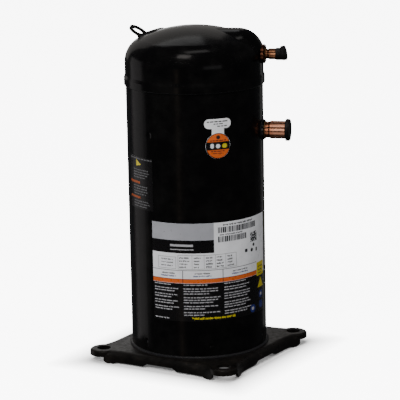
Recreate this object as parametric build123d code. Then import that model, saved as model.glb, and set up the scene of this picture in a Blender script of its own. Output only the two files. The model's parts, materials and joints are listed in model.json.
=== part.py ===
from build123d import *
import os
from math import cos, sin, pi, radians, sqrt

# Hermetic scroll compressor, millimetres. Origin: centre of the mounting-hole pattern on the underside
# of the ears. +Z runs up the shell's axis, X and Y along the sides of the square base.

# ---- driving dimensions ----
SHELL_R = 92.5            # outside of the rolled shell
WALL = 3.0                # shell and cap thickness
SHELL_IN = SHELL_R - WALL
FIT = 0.05                # clearance of a push fit or running fit
PLATE_T = 4.0             # thickness of the base plate and of its ears
SHELL_TOP = 370.0
HOLE_PITCH = 190.5        # mounting holes, centre to centre
HOLE_R = 9.5
EAR_R = 19.0
EAR_RIM_DEPTH = 4.0
DECK_HALF = 97.0          # half the side of the flat deck, before its flanges bend down
FLANGE_BEND = 8.0         # outer radius of that bend
FLANGE_T = 3.5
FLANGE_HALF = 86.0        # half the length of a flange
FLARE_START = 50.0        # a flange is straight as far as this, then curves outwards to the ears
FLARE = 6.4               # how far its ends curve outwards
FLANGE_LOW = -13.0        # lowest point, near the ends of a flange
FLANGE_EDGE = [(20.0, -6.8), (27.0, -11.0), (68.0, -11.0), (73.0, FLANGE_LOW), (81.0, FLANGE_LOW),
               (FLANGE_HALF + 1, -9.0)]   # half of its lower edge: along the flange, height

# top cap
CAP_R = 93.5
LIP_R = 95.0
LIP_LOW = 365.0
CAP_FOOT = 378.0          # where the skirt ends and the dome begins
CROWN_R = 180.0
KNUCKLE_R = 34.0
APEX = 441.0
BOSS_R = 34.5             # bulge of the cap round the discharge fitting
BOSS_CENTRE = 61.0        # how far out the centre of its rounded end lies

# fittings, both on one side
STUB_ANGLE = 20.0
SUCTION_Z = 301.0
SUCTION_NECK_R = 10.95    # outside of the tube where it enters the collar
SUCTION_R = 12.05         # outside of its expanded end
SUCTION_SOCKET_R = 11.15  # the bore that takes the line
SUCTION_END = 124.1
DISCHARGE_Z = 404.0
DISCHARGE_NECK_R = 6.5
DISCHARGE_R = 7.45
DISCHARGE_SOCKET_R = 6.4
DISCHARGE_END = 116.0

# lifting eye
EYE_ANGLE = -173.6
EYE_W = 25.0
EYE_T = 3.0
EYE_HOLE_R = 8.0
EYE_TILT = 32.0           # the eye stands this many degrees above level
EYE_CENTRE_R = 83.0
EYE_CENTRE_Z = 430.0

# terminals
TERM_ANGLE = 125.0
TERM_Z = 236.0
FENCE_W = 76.0
FENCE_H = 84.0
FENCE_OUT = 108.0
FENCE_T = 1.6
COVER_OUT = 128.0
PIN_PLACES = [(-9.0, -6.0), (9.0, -6.0), (0.0, 9.5)]   # across, up from the terminal's centre

# labels, as films just off the shell
SKIN_IN = SHELL_R + 0.03
SKIN_OUT = SHELL_R + 0.3
TAG_ANGLE = -39.9
TAG_BAR_Z = 323.5
TAG_DISC_Z = 293.85
TAG_DISC_R = 17.2

# scroll set
BASE_CIRCLE = 2.4         # radius of the involutes' base circle
WRAP_T = 3.2
FLANK_GAP = 0.2
ORBIT = pi * BASE_CIRCLE - WRAP_T - FLANK_GAP
WRAP_START = 1.15 * pi
WRAP_END = 5.5 * pi
THRUST_Z = 286.0          # thrust face that carries the orbiting scroll
ORBIT_PLATE_R = 70.0
ORBIT_PLATE_TOP = 295.0
WRAP_TOP = 323.0
FIXED_PLATE_TOP = 340.0
FIXED_R = 72.0
POST_ANGLE = -10.5
POST_HALF = 13.0
POST_TOP = 318.0
BOLT_CIRCLE = 82.0
BOLT_SHANK_R = 4.0
HUB_LOW = 266.0
HUB_BORE_R = 15.0
KEY_IN = 57.0             # the keys of the Oldham ring
KEY_OUT = 66.0
KEY_HALF = 4.0
KEY_TOP = 292.0
RING_LOW = 279.0          # floor of the Oldham ring's seat
SEAL_FLOOR = 340.0

# gas side
MUFFLER_LOW = 358.3
MUFFLER_TOP = 362.3
VALVE_SEAT = 364.3
RELIEF_ANGLE = 200.0
RELIEF_R = 70.0
RELIEF_BODY_R = 7.0

# shaft line
JOURNAL_R = 16.0
SHAFT_R = 15.0
LOWER_JOURNAL_R = 10.0
PIN_R = 9.0
BUSHING_R = 13.0
CORE_LOW = 98.0
CORE_TOP = 178.0
ROTOR_R = 36.4
STATOR_BORE = 37.0
SLOTS = 24
END_RING_T = 8.0
WINDING_LOW = 66.0
WINDING_TOP = 210.0
LEAD_LOW = -25.9          # the leads start just above the winding, measured from the terminals
LEAD_OUT = 64.0           # how far from the axis they climb


# ---- helpers ----
def tube(r_out, r_in, low, high):
    """A ring about the Z axis from low to high."""
    height = high - low
    return Pos(0, 0, (low + high) / 2) * (Cylinder(r_out, height) - Cylinder(r_in, height))


def rod(radius, low, high, x=0.0, y=0.0):
    """A solid cylinder parallel to Z."""
    return Pos(x, y, (low + high) / 2) * Cylinder(radius, high - low)


def block(x0, x1, y0, y1, z0, z1):
    """A box between opposite corners."""
    return Pos((x0 + x1) / 2, (y0 + y1) / 2, (z0 + z1) / 2) * Box(x1 - x0, y1 - y0, z1 - z0)


def turned(points):
    """A solid of revolution about Z from a closed outline of (radius, height) points."""
    outline = Polyline(*[(r, 0, z) for r, z in points], close=True)
    return revolve(make_face(outline), Axis.Z)


def around(angle):
    """Rotation about the shell's axis."""
    return Rot(0, 0, angle)


def outward(angle, height):
    """Place a shape made along +Z so that it points radially out at an angle and a height."""
    direction = (cos(radians(angle)), sin(radians(angle)), 0)
    across = (-sin(radians(angle)), cos(radians(angle)), 0)
    return Plane(origin=(0, 0, height), x_dir=across, z_dir=direction).location


def sector(r_out, r_in, low, high, middle, half):
    """Part of a ring, from middle - half to middle + half degrees."""
    reach = 2 * r_out
    a = radians(half)
    side = (reach * cos(a), reach * sin(a))
    wedge = make_face(Polyline((0, 0), (side[0], -side[1]), side, close=True))
    wedge = Pos(0, 0, low) * extrude(wedge, high - low)
    return around(middle) * (tube(r_out, r_in, low, high) & wedge)


def group(shapes):
    """Separate solids in one node."""
    return Compound(children=[solid for shape in shapes for solid in shape.solids()])


# ---- housing ----
def cap_outline(inset):
    """Half section of the dome, inset from its outer surface: wall, knuckle and crown."""
    wall_r = CAP_R - inset
    knuckle = KNUCKLE_R - inset
    crown = CROWN_R - inset
    crown_z = APEX - CROWN_R
    knuckle_x = CAP_R - KNUCKLE_R
    knuckle_z = crown_z + sqrt((CROWN_R - KNUCKLE_R) ** 2 - knuckle_x ** 2)
    lean = knuckle_x / (CROWN_R - KNUCKLE_R)
    rise = sqrt(1 - lean ** 2)
    meet = (crown * lean, 0, crown_z + crown * rise)
    part_way = radians(32)
    bend = (knuckle_x + knuckle * cos(part_way), 0, knuckle_z + knuckle * sin(part_way))
    mid = crown * lean / 2
    arch = (mid, 0, crown_z + sqrt(crown ** 2 - mid ** 2))
    top = (0, 0, crown_z + crown)
    foot = (wall_r, 0, CAP_FOOT)
    spring = (wall_r, 0, knuckle_z)
    lines = Line(foot, spring)
    lines += ThreePointArc(spring, bend, meet)
    lines += ThreePointArc(meet, arch, top)
    lines += Line(top, (0, 0, CAP_FOOT))
    lines += Line((0, 0, CAP_FOOT), foot)
    return revolve(make_face(lines), Axis.Z)


def discharge_boss(radius):
    """Bulge of the cap behind the discharge fitting: a barrel along the fitting with a round end."""
    barrel = rod(radius, 20.0, BOSS_CENTRE) + Pos(0, 0, BOSS_CENTRE) * Sphere(radius)
    return outward(STUB_ANGLE, DISCHARGE_Z) * barrel


def cap_solid():
    """The cap's outer form, filled."""
    skirt = turned([(0, LIP_LOW + 6), (LIP_R - 2.5, LIP_LOW + 6), (LIP_R - 2.5, LIP_LOW), (LIP_R, LIP_LOW),
                    (LIP_R, CAP_FOOT - 4.5), (CAP_R, CAP_FOOT), (0, CAP_FOOT)])
    upper = cap_outline(0) + (discharge_boss(BOSS_R) & rod(CAP_R, CAP_FOOT + 1, APEX))
    return upper + skirt


def top_cap():
    form = cap_solid()
    hollow = cap_outline(WALL) + (discharge_boss(BOSS_R - WALL) & rod(CAP_R - WALL, CAP_FOOT + 6, APEX))
    hollow += rod(CAP_R - WALL, LIP_LOW - 5, CAP_FOOT + 1) + rod(SHELL_R, LIP_LOW - 5, SHELL_TOP + WALL)
    port = outward(STUB_ANGLE, DISCHARGE_Z) * rod(8.6, 70.0, 110.0)
    return form - hollow - port


def main_shell():
    shell = tube(SHELL_R, SHELL_IN, PLATE_T, SHELL_TOP)
    shell -= outward(STUB_ANGLE, SUCTION_Z) * rod(12.1, 70.0, 110.0)
    shell -= outward(TERM_ANGLE, TERM_Z) * rod(20.6, 70.0, 110.0)
    for turn in range(4):
        dimple = Pos(0, 0, SHELL_R + 7.6) * Sphere(9.0)
        shell -= outward(POST_ANGLE + 90 * turn, 306.0) * dimple
    for turn in range(6):
        dimple = Pos(0, 0, SHELL_R + 5.0) * Sphere(6.0)
        shell -= outward(11.0 + 60 * turn, 21.0) * dimple
    return shell


def flange_form(inset, length, top, bend):
    """One side of the base, along +X, filled: straight, flared at both ends, with a rounded top edge."""
    face = DECK_HALF + FLANGE_BEND - inset
    run = FLANGE_HALF - FLARE_START
    radius = (run ** 2 + FLARE ** 2) / (2 * FLARE) + inset
    half_run = (FLARE_START + length) / 2
    end = face + radius - sqrt(radius ** 2 - (length - FLARE_START) ** 2)
    middle = face + radius - sqrt(radius ** 2 - (half_run - FLARE_START) ** 2)
    inner = DECK_HALF - 35
    low = FLANGE_LOW - 5 - inset
    lines = Line((inner, -length), (end, -length))
    lines += ThreePointArc((end, -length), (middle, -half_run), (face, -FLARE_START))
    lines += Line((face, -FLARE_START), (face, FLARE_START))
    lines += ThreePointArc((face, FLARE_START), (middle, half_run), (end, length))
    lines += Line((end, length), (inner, length))
    lines += Line((inner, length), (inner, -length))
    form = Pos(0, 0, low) * extrude(make_face(lines), top - low)
    rim = [edge for edge in form.edges().group_by(Axis.Z)[-1] if edge.center().X > face - 1]
    return fillet(rim, bend)


def flange():
    """One down-turned side of the base, with its shaped lower edge."""
    side = flange_form(0, FLANGE_HALF, PLATE_T, FLANGE_BEND)
    side -= flange_form(FLANGE_T, FLANGE_HALF + 1, 0, FLANGE_BEND - FLANGE_T)
    floor = FLANGE_LOW - 10
    start = DECK_HALF - 1
    edge = [(-y, z) for y, z in reversed(FLANGE_EDGE)] + FLANGE_EDGE
    points = [(start, y, z) for y, z in edge]
    points += [(start, FLANGE_HALF + 1, floor), (start, -FLANGE_HALF - 1, floor)]
    below = extrude(make_face(Polyline(*points, close=True)), 4 * FLANGE_BEND, dir=(1, 0, 0))
    return side - below


def base_plate():
    deck = block(-DECK_HALF, DECK_HALF, -DECK_HALF, DECK_HALF, 0, PLATE_T)
    half = HOLE_PITCH / 2
    ear = rod(EAR_R, -EAR_RIM_DEPTH, PLATE_T)
    ear = fillet(ear.edges().group_by(Axis.Z)[-1], 3.0)
    ear -= rod(EAR_R - FLANGE_T, -EAR_RIM_DEPTH - 1, 0)
    inside = block(-DECK_HALF, DECK_HALF, -DECK_HALF, DECK_HALF, -2 * EAR_RIM_DEPTH, 0)
    ears = [Pos(x, y, 0) * ear - inside for x in (-half, half) for y in (-half, half)]
    base = deck
    for one in ears:
        base += one
    for turn in range(4):
        base += around(90 * turn) * flange()
    base -= rod(SHELL_IN - 3.5, -20, 20)
    dish = turned([(0, -8), (76, -8), (SHELL_IN, 0), (SHELL_IN, 0.1), (SHELL_IN - FIT, PLATE_T),
                   (SHELL_IN - FIT, 14), (SHELL_IN - 3.5, 14), (SHELL_IN - 3.5, 2), (75, -4.5), (0, -4.5)])
    base += dish
    for x in (-half, half):
        for y in (-half, half):
            base -= rod(HOLE_R, -20, 20, x, y)
    return base


def muffler_plate():
    plate = turned([(0, MUFFLER_LOW), (82, MUFFLER_LOW), (88, SHELL_TOP), (SHELL_R, SHELL_TOP),
                    (SHELL_R, SHELL_TOP + WALL), (86, SHELL_TOP + WALL), (80, MUFFLER_TOP), (0, MUFFLER_TOP)])
    relief = around(RELIEF_ANGLE) * rod(RELIEF_BODY_R + FIT, 350, 370, RELIEF_R)
    return plate - rod(6.0, 350, 370) - relief


def suction_spud():
    collar = rod(13.6, 88.0, 96.0)
    collar = chamfer(collar.edges().group_by(Axis.Z)[-1], 1.0)
    collar = outward(STUB_ANGLE, SUCTION_Z) * collar - rod(SHELL_R + FIT, 200, 400)
    throat = outward(STUB_ANGLE, SUCTION_Z) * rod(12.0, 86.5, 94.5)
    return collar + throat - outward(STUB_ANGLE, SUCTION_Z) * rod(11.0, 80, 100)


def suction_tube():
    wall = turned([(SUCTION_NECK_R, 86), (SUCTION_NECK_R, 101.7), (SUCTION_R, 103.5), (SUCTION_R, SUCTION_END),
                   (11.4, SUCTION_END), (11.4, 117.5), (SUCTION_SOCKET_R, 117.5), (SUCTION_SOCKET_R, 103.7),
                   (SUCTION_NECK_R - 0.85, 101.9), (SUCTION_NECK_R - 0.85, 86)])
    return outward(STUB_ANGLE, SUCTION_Z) * wall


def suction_plug():
    plug = turned([(0, 125.6), (9.6, 125.6), (9.6, 118.2), (11.0, 118.2), (11.35, 119.2), (11.35, 124.15),
                   (14.4, 124.15), (14.95, 124.8), (14.95, 128.6), (13.8, 129.8), (6.0, 129.8),
                   (5.2, 129.0), (0, 129.0)])
    return outward(STUB_ANGLE, SUCTION_Z) * plug


def discharge_spud():
    collar = rod(12.8, 84.0, 97.6)
    collar = chamfer(collar.edges().group_by(Axis.Z)[-1], 1.2)
    collar = outward(STUB_ANGLE, DISCHARGE_Z) * collar - cap_solid()
    throat = outward(STUB_ANGLE, DISCHARGE_Z) * rod(8.5, 86.0, 96.0)
    return collar + throat - outward(STUB_ANGLE, DISCHARGE_Z) * rod(6.55, 80, 100)


def discharge_tube():
    wall = turned([(DISCHARGE_NECK_R, 85), (DISCHARGE_NECK_R, 101), (DISCHARGE_R, 103),
                   (DISCHARGE_R, DISCHARGE_END), (DISCHARGE_SOCKET_R, DISCHARGE_END),
                   (DISCHARGE_SOCKET_R, 103.2), (DISCHARGE_NECK_R - 0.9, 101.4), (DISCHARGE_NECK_R - 0.9, 85)])
    return outward(STUB_ANGLE, DISCHARGE_Z) * wall


def discharge_plug():
    skirt = turned([(0, 116.05), (7.52, 116.05), (7.52, 111.8), (8.0, 111.8), (8.3, 112.2), (8.3, 121),
                    (0, 121)])
    grip = Cylinder(9.85, 6.4)
    grip = fillet(grip.edges(), 1.4)
    grip = Pos(0, 1.4, 122.3) * Rot(-11, 0, 0) * grip
    return outward(STUB_ANGLE, DISCHARGE_Z) * (skirt + grip)


def lifting_eye():
    tilt = radians(EYE_TILT)
    along = (cos(tilt), 0, sin(tilt))
    up = (-sin(tilt), 0, cos(tilt))
    root_length = 16.5
    plate = Pos(-root_length / 2, 0, 0) * Box(root_length, EYE_W, EYE_T) + Cylinder(EYE_W / 2, EYE_T)
    plate -= Cylinder(EYE_HOLE_R, 3 * EYE_T)
    plate = Plane(origin=(EYE_CENTRE_R, 0, EYE_CENTRE_Z), x_dir=along, z_dir=up).location * plate
    outline = [(50, 425), (50, 434.5), (56, 434.0), (64, 431.6), (70, 429.2), (75, 426.8), (78, 424.5),
               (72, 415)]
    strap = make_face(Polyline(*[(x, 0, z) for x, z in outline], close=True))
    strap = extrude(strap, EYE_W / 2, dir=(0, 1, 0), both=True)
    return around(EYE_ANGLE) * (plate + strap) - cap_solid()


# ---- terminals ----
def terminal_at(shape, place):
    return outward(TERM_ANGLE, TERM_Z) * (Pos(place[0], place[1], 0) * shape)


def terminal_body():
    body = rod(20.5, 86.5, 95.5)
    body = chamfer(body.edges().group_by(Axis.Z)[-1], 1.0)
    body = outward(TERM_ANGLE, TERM_Z) * body
    for place in PIN_PLACES:
        body -= terminal_at(rod(4.5, 80, 100), place)
    return body


def terminal_glass():
    return group([terminal_at(tube(4.45, 1.65, 87.0, 96.5), place) for place in PIN_PLACES])


def terminal_pins():
    pin = rod(1.6, 79.5, 101.0) + block(-3.2, 3.2, -0.5, 0.5, 100.0, 109.0)
    return group([terminal_at(pin, place) for place in PIN_PLACES])


def rounded_bar(width, height, corner, low, high):
    """A bar along Z with a rounded rectangular section."""
    return Pos(0, 0, low) * extrude(RectangleRounded(width, height, corner), high - low)


def terminal_fence():
    wall = rounded_bar(FENCE_W, FENCE_H, 8, 80, FENCE_OUT)
    wall -= rounded_bar(FENCE_W - 2 * FENCE_T, FENCE_H - 2 * FENCE_T, 8 - FENCE_T, 70, 120)
    return outward(TERM_ANGLE, TERM_Z) * wall - rod(SHELL_R + FIT, 100, 350)


def terminal_cover():
    form = rounded_bar(FENCE_W + 4.6, FENCE_H + 4.6, 10, 97.0, COVER_OUT)
    form = fillet(form.edges().group_by(Axis.Z)[-1], 5.0)
    form -= rounded_bar(FENCE_W + 0.6, FENCE_H + 0.6, 8.2, 90, COVER_OUT - 2.0)
    lip = rounded_bar(FENCE_W + 8.0, FENCE_H + 8.0, 11.5, 97.0, 100.0)
    lip -= rounded_bar(FENCE_W + 0.6, FENCE_H + 0.6, 8.2, 90, 110)
    ribs = rounded_bar(44, 3, 1.4, COVER_OUT - 1, COVER_OUT + 1.2)
    for shift in (-24, 24):
        form += Pos(0, shift, 0) * ribs
    clear = rod(SHELL_R + 0.4, 100, 350)
    return outward(TERM_ANGLE, TERM_Z) * (form + lip) - clear


def ground_screw():
    head = Pos(0, 0, 95.6) * extrude(RegularPolygon(4.6, 6), 3.4)
    screw = head + rod(6.4, 94.4, 95.6) + rod(2.4, 91.0, 95.0)
    seat = rod(5.2, 92.0, 94.4)
    screw = outward(TERM_ANGLE, TERM_Z) * (Pos(-24, -26, 0) * (screw + seat))
    return screw - rod(SHELL_R + FIT, 100, 350)


# ---- labels ----
def nameplate_label():
    return sector(SKIN_OUT, SKIN_IN, 55.5, 190.0, -42.5, 56.5)


def side_label():
    return sector(SKIN_OUT, SKIN_IN, 203.0, 274.0, -113.5, 16.0)


def tag_label():
    bar = Pos(0, TAG_BAR_Z) * RectangleRounded(37, 13, 6.2)
    stem = Pos(0, TAG_BAR_Z - 9.5) * Rectangle(17, 12)
    disc = Pos(0, TAG_DISC_Z) * Circle(TAG_DISC_R)
    tag = extrude(bar + stem + disc, 120)
    tag = outward(TAG_ANGLE, 0) * tag
    return tag & tube(SKIN_OUT, SKIN_IN, 270, 335)


# ---- scroll set ----
def involute(shift, start, end):
    """Points of an involute whose string is longer by shift radians, 24 to the turn."""
    steps = int(round((end - start) / (pi / 12)))
    points = []
    for i in range(steps + 1):
        phi = start + (end - start) * i / steps
        string = phi + shift
        x = cos(phi) + string * sin(phi)
        y = sin(phi) - string * cos(phi)
        points.append((BASE_CIRCLE * x, BASE_CIRCLE * y))
    return points


def wrap(end, low, high):
    """Spiral wall between two involutes."""
    shift = WRAP_T / (2 * BASE_CIRCLE)
    outer = involute(shift, WRAP_START, end)
    inner = involute(-shift, WRAP_START, end)
    lines = Spline(*outer) + Line(outer[-1], inner[-1]) + Spline(*inner[::-1]) + Line(inner[0], outer[0])
    return Pos(0, 0, low) * extrude(make_face(lines), high - low)


def orbiting_scroll():
    plate = rod(ORBIT_PLATE_R, THRUST_Z + FIT, ORBIT_PLATE_TOP)
    hub = tube(21.0, HUB_BORE_R, HUB_LOW, THRUST_Z + 1)
    scroll = plate + hub + wrap(WRAP_END, ORBIT_PLATE_TOP - 1, WRAP_TOP)
    scroll -= rod(HUB_BORE_R, HUB_LOW - 6, THRUST_Z + FIT)
    slot_half = KEY_HALF + ORBIT + 0.3
    for sign in (-1, 1):
        near, far = sorted((sign * (KEY_IN - ORBIT - 0.4), sign * (ORBIT_PLATE_R + 5)))
        scroll -= block(-slot_half, slot_half, near, far, THRUST_Z - 2, KEY_TOP + 0.5)
    return Pos(0, ORBIT, 0) * scroll


def hub_bearing_bush():
    return Pos(0, ORBIT, 0) * tube(HUB_BORE_R, BUSHING_R + FIT, HUB_LOW, THRUST_Z - 1)


def oldham_ring():
    ring = tube(68.0, 55.2, RING_LOW + FIT, THRUST_Z - 1)
    for sign in (-1, 1):
        near, far = sorted((sign * KEY_IN, sign * KEY_OUT))
        ring += block(near, far, -KEY_HALF, KEY_HALF, RING_LOW - 6.5, RING_LOW + 3)
        ring += block(-KEY_HALF, KEY_HALF, near, far, RING_LOW + 3, KEY_TOP)
    return ring


def main_bearing_housing():
    body = turned([(19.05, 222), (32, 222), (32, 246), (60, 262), (78, HUB_LOW), (78, RING_LOW),
                   (50.5, RING_LOW), (50.5, THRUST_Z), (27, THRUST_Z), (27, 260), (19.05, 256)])
    for turn in range(4):
        angle = POST_ANGLE + 90 * turn
        body += sector(SHELL_IN - FIT, 76, HUB_LOW, POST_TOP, angle, POST_HALF)
        body -= around(angle) * rod(BOLT_SHANK_R + FIT, 298, 330, BOLT_CIRCLE)
        body -= around(angle + 45) * rod(7.0, 250, 290, 70)
    for sign in (-1, 1):
        near, far = sorted((sign * (KEY_IN - ORBIT - 0.4), sign * (KEY_OUT + ORBIT + 0.4)))
        body -= block(near, far, -KEY_HALF - FIT, KEY_HALF + FIT, RING_LOW - 7, RING_LOW + 1)
    return body


def main_bearing_bush():
    return tube(19.0, JOURNAL_R + FIT, 222.5, 255.5)


def non_orbiting_scroll():
    under = ORBIT_PLATE_TOP + FIT
    floor = WRAP_TOP + FIT
    scroll = rod(FIXED_R, floor, FIXED_PLATE_TOP)
    scroll += tube(FIXED_R, 52, under + 2, floor + 1)
    scroll += around(180) * wrap(6.8 * pi, under, floor + 1)
    scroll += tube(20, 8, FIXED_PLATE_TOP - 1, 352) + tube(56, 48, FIXED_PLATE_TOP - 1, 352)
    scroll -= rod(5.0, floor - 1, 360)
    for turn in range(4):
        angle = POST_ANGLE + 90 * turn
        scroll += sector(88.5, 70, POST_TOP + FIT, 330, angle, POST_HALF - 2)
        scroll -= around(angle) * rod(5.6, 300, 335, BOLT_CIRCLE)
    for angle in (STUB_ANGLE, STUB_ANGLE + 180):
        scroll -= around(angle) * block(53.5, 80, -14, 14, under, 316)
    return scroll


def scroll_sleeves():
    sleeve = tube(5.5, BOLT_SHANK_R + FIT, POST_TOP, 331.3)
    return group([around(POST_ANGLE + 90 * turn) * (Pos(BOLT_CIRCLE, 0, 0) * sleeve) for turn in range(4)])


def scroll_bolts():
    head = Pos(0, 0, 331.3) * extrude(RegularPolygon(6.5, 6), 6.0)
    bolt = head + rod(BOLT_SHANK_R, 299, 331.5)
    bolt -= Pos(0, 0, 335.5) * extrude(RegularPolygon(3.2, 6), 3.0)
    return group([around(POST_ANGLE + 90 * turn) * (Pos(BOLT_CIRCLE, 0, 0) * bolt) for turn in range(4)])


def floating_seal():
    return turned([(20.3, SEAL_FLOOR + FIT), (47.7, SEAL_FLOOR + FIT), (47.7, 347), (42, 349), (42, 351.5),
                   (31, 351.5), (31, 355), (27.5, 356 + FIT), (26.5, 356 + FIT), (26.5, 349), (20.3, 347)])


# ---- gas side ----
def relief_at(shape):
    return around(RELIEF_ANGLE) * (Pos(RELIEF_R, 0, 0) * shape)


def relief_valve_body():
    body = turned([(2.5, 344), (RELIEF_BODY_R, 344), (RELIEF_BODY_R, MUFFLER_TOP), (9, MUFFLER_TOP), (9, 366),
                   (2.5, 366), (2.5, 362), (4.5, 362), (4.5, 346.5), (2.5, 346.5)])
    return relief_at(body)


def relief_plunger():
    return relief_at(rod(4.4, 356, 361.95) + rod(2.0, 353.0, 356.5))


def relief_spring():
    height = 8.0
    path = Helix(pitch=2.0, height=height, radius=3.4)
    wire = Plane(origin=path @ 0, z_dir=path % 0)
    coil = sweep(wire * Circle(0.45), path=path, is_frenet=True)
    return relief_at(Pos(0, 0, 347.2) * coil)


def discharge_valve_cage():
    cage = turned([(7, MUFFLER_TOP), (18, MUFFLER_TOP), (18, VALVE_SEAT), (16, VALVE_SEAT), (16, 375.5),
                   (0, 375.5), (0, 374), (14, 374), (14, VALVE_SEAT), (7, VALVE_SEAT)])
    for turn in range(4):
        cage -= around(45 + 90 * turn) * block(10, 20, -6, 6, 366.5, 373.0)
    return cage


def discharge_valve_disc():
    return rod(12.5, VALVE_SEAT + FIT, VALVE_SEAT + 1.3)


def suction_baffle():
    low, high = 284.0, 322.0
    skin = sector(84.7, 83.5, low, high, STUB_ANGLE, 15)
    shelf = sector(SHELL_IN - FIT, 84.0, high - 1.2, high, STUB_ANGLE, 15)
    return skin + shelf


def sump_magnet():
    return rod(12.0, -4.5, 0.5, 38, -30) - rod(5.0, -6, 2, 38, -30)


# ---- shaft line ----
def crankshaft():
    shaft = rod(LOWER_JOURNAL_R, 22, 46.5) + rod(SHAFT_R, 46, 216) + rod(JOURNAL_R, 215.5, 262)
    shaft += rod(PIN_R, 261, 283.5, 0, ORBIT)
    shaft -= rod(2.5, 20, 290, 0, 3.5)
    return shaft


def drive_bushing():
    return Pos(0, ORBIT, 0) * tube(BUSHING_R, PIN_R, 263.0, 283.5)


def rotor_core():
    core = tube(ROTOR_R, SHAFT_R, CORE_LOW, CORE_TOP)
    for turn in range(6):
        core -= around(60 * turn) * rod(2.2, CORE_LOW - 1, CORE_TOP + 1, 20)
    return core


def rotor_end_rings():
    return group([tube(36, 24, CORE_LOW - END_RING_T, CORE_LOW), tube(36, 24, CORE_TOP, CORE_TOP + END_RING_T)])


def upper_counterweight():
    seat = CORE_TOP + END_RING_T
    return sector(34, SHAFT_R + 3, seat, 206, -90, 80) + tube(27, SHAFT_R, seat, seat + 4)


def lower_counterweight():
    seat = CORE_LOW - END_RING_T
    return sector(34, SHAFT_R + 3, 74, seat, 90, 70) + tube(27, SHAFT_R, seat - 4, seat)


def oil_pickup():
    return turned([(2, 10), (4, 10), (8.5, 16), (8.5, 22), (3, 22), (3, 18), (2, 16)])


def lower_bearing_bracket():
    bracket = turned([(13, 24), (20, 24), (20, 31), (83, 31), (86, 28), (86, 15), (SHELL_IN - FIT, 15),
                      (SHELL_IN - FIT, 30), (85.5, 34), (20, 34), (20, 44), (13, 44)])
    for turn in range(6):
        bracket -= around(41 + 60 * turn) * rod(15, 20, 40, 54)
    return bracket


def lower_bearing_bush():
    return tube(13.0, LOWER_JOURNAL_R + FIT, 24.5, 44.0)


def thrust_washer():
    return tube(17.5, LOWER_JOURNAL_R + 0.6, 44.0, 46 - FIT)


def stator_core():
    core = tube(SHELL_IN - FIT, STATOR_BORE, CORE_LOW, CORE_TOP)
    slot = block(44.5, 68, -2.6, 2.6, CORE_LOW - 1, CORE_TOP + 1)
    mouth = block(30, 46, -1.2, 1.2, CORE_LOW - 1, CORE_TOP + 1)
    for turn in range(SLOTS):
        core -= around(360 / SLOTS * turn) * (slot + mouth)
    for turn in range(4):
        core -= around(POST_ANGLE + 90 * turn + 45) * block(86.5, 95, -30, 30, CORE_LOW - 1, CORE_TOP + 1)
    return core


def winding_end(low, high):
    ring = tube(77, 42, low, high)
    return fillet(ring.edges(), 6.0)


def stator_winding():
    winding = winding_end(CORE_TOP + 1.5, WINDING_TOP) + winding_end(WINDING_LOW, CORE_LOW - 1.5)
    bar = block(45.5, 67, -2.4, 2.4, 94, 182)
    for turn in range(SLOTS):
        winding += around(360 / SLOTS * turn) * bar
    return winding


def stator_leads():
    leads = []
    for across, up in PIN_PLACES:
        route = FilletPolyline((LEAD_LOW, LEAD_OUT), (up, LEAD_OUT), (up, 79.3), radius=7.5)
        start = Plane(origin=(LEAD_LOW, LEAD_OUT, 0), z_dir=(1, 0, 0))
        lead = sweep(start * Circle(1.7), path=route)
        leads.append(outward(TERM_ANGLE, TERM_Z) * (Pos(across, 0, 0) * stand(lead)))
    return group(leads)


def stand(shape):
    """Turn a shape drawn as (up, out, 0) so that out runs along Z and up along Y."""
    return Plane(origin=(0, 0, 0), x_dir=(0, 1, 0), z_dir=(1, 0, 0)).location * shape


PARTS = [
    main_shell, top_cap, base_plate, muffler_plate, suction_spud, suction_tube, suction_plug, discharge_spud,
    discharge_tube, discharge_plug, lifting_eye, terminal_body, terminal_glass, terminal_pins, terminal_fence,
    terminal_cover, ground_screw, nameplate_label, side_label, tag_label, orbiting_scroll, hub_bearing_bush,
    oldham_ring, main_bearing_housing, main_bearing_bush, non_orbiting_scroll, scroll_sleeves, scroll_bolts,
    floating_seal, relief_valve_body, relief_plunger, relief_spring, discharge_valve_cage,
    discharge_valve_disc, suction_baffle, sump_magnet, crankshaft, drive_bushing, rotor_core,
    rotor_end_rings, upper_counterweight, lower_counterweight, oil_pickup, lower_bearing_bracket,
    lower_bearing_bush, thrust_washer, stator_core, stator_winding, stator_leads,
]

os.makedirs("parts", exist_ok=True)
for build_part in PARTS:
    export_step(build_part(), "parts/" + build_part.__name__ + ".step")
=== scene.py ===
import json
import math
import random

import bmesh
import bpy
from mathutils import Matrix, Vector


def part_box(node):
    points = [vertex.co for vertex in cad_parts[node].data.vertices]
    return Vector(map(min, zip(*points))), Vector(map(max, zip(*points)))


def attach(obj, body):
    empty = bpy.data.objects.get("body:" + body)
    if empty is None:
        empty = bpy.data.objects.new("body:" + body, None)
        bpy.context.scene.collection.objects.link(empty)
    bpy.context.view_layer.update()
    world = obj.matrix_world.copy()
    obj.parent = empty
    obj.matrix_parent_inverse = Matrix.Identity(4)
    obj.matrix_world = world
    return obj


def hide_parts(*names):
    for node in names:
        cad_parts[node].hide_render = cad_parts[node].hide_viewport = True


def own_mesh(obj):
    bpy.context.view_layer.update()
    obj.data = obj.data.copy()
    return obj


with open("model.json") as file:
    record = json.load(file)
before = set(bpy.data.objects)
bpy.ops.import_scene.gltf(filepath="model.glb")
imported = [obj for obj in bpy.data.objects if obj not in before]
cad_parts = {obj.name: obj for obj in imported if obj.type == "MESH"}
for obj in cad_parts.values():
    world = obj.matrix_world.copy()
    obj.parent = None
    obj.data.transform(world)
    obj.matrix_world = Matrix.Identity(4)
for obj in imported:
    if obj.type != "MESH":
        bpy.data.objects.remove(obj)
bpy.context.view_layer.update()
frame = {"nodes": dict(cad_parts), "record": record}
NODES = frame["nodes"]
MM = 0.001

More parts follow.
